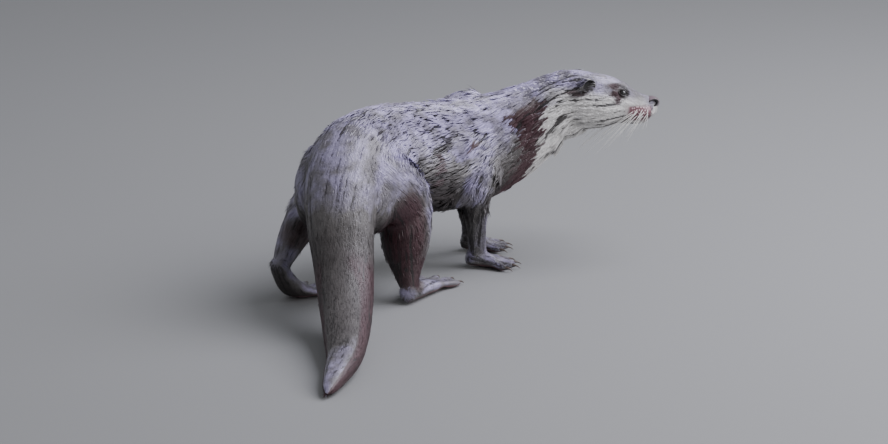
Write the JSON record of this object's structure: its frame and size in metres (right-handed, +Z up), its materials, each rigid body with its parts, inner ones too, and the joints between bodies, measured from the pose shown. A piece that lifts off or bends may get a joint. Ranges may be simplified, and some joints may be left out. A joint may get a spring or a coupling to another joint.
{
  "type": "river otter",
  "caption": "Life-size river otter standing on all feet with its head and neck stretched to its right, a raised hind heel, and a long tapering tail laid along the ground.",
  "frame": {"origin": "on the ground, under the middle of the otter's own bounding box", "axes": "+Z up; +X the way the hips face, from the tail towards the shoulders; +Y towards the otter's left, so its head is turned towards -Y"},
  "size_m": [0.8068, 0.4066, 0.2531],
  "materials": {
    "fur": "short wet fur, in pointed locks on the body and slick on the hips and tail",
    "ear": "short dark fur, hollow and nearly black inside",
    "nose": "bare, damp, finely grained",
    "eye": "wet and very glossy, dark brown to black",
    "claw": "horn, smooth and dull"
  },
  "bodies": {
    "root": {"tail_root": "fur", "tail_middle": "fur", "tail_tip": "fur", "neck": "fur", "foot_hind_right": "fur", "leg_hind_right": "fur", "foot_hind_left": "fur", "leg_hind_left": "fur", "foot_fore_right": "fur", "leg_fore_right": "fur", "foot_fore_left": "fur", "leg_fore_left": "fur", "trunk": "fur", "nose": "nose", "head": "fur", "eye_right": "eye", "ear_right": "ear", "eye_left": "eye", "ear_left": "ear", "claw_hind_right_1": "claw", "claw_hind_right_2": "claw", "claw_hind_right_3": "claw", "claw_hind_right_4": "claw", "claw_hind_right_5": "claw", "claw_hind_left_1": "claw", "claw_hind_left_2": "claw", "claw_hind_left_3": "claw", "claw_hind_left_4": "claw", "claw_hind_left_5": "claw", "claw_fore_right_1": "claw", "claw_fore_right_2": "claw", "claw_fore_right_3": "claw", "claw_fore_right_4": "claw", "claw_fore_right_5": "claw", "claw_fore_left_1": "claw", "claw_fore_left_2": "claw", "claw_fore_left_3": "claw", "claw_fore_left_4": "claw", "claw_fore_left_5": "claw"}
  },
  "joints": []
}
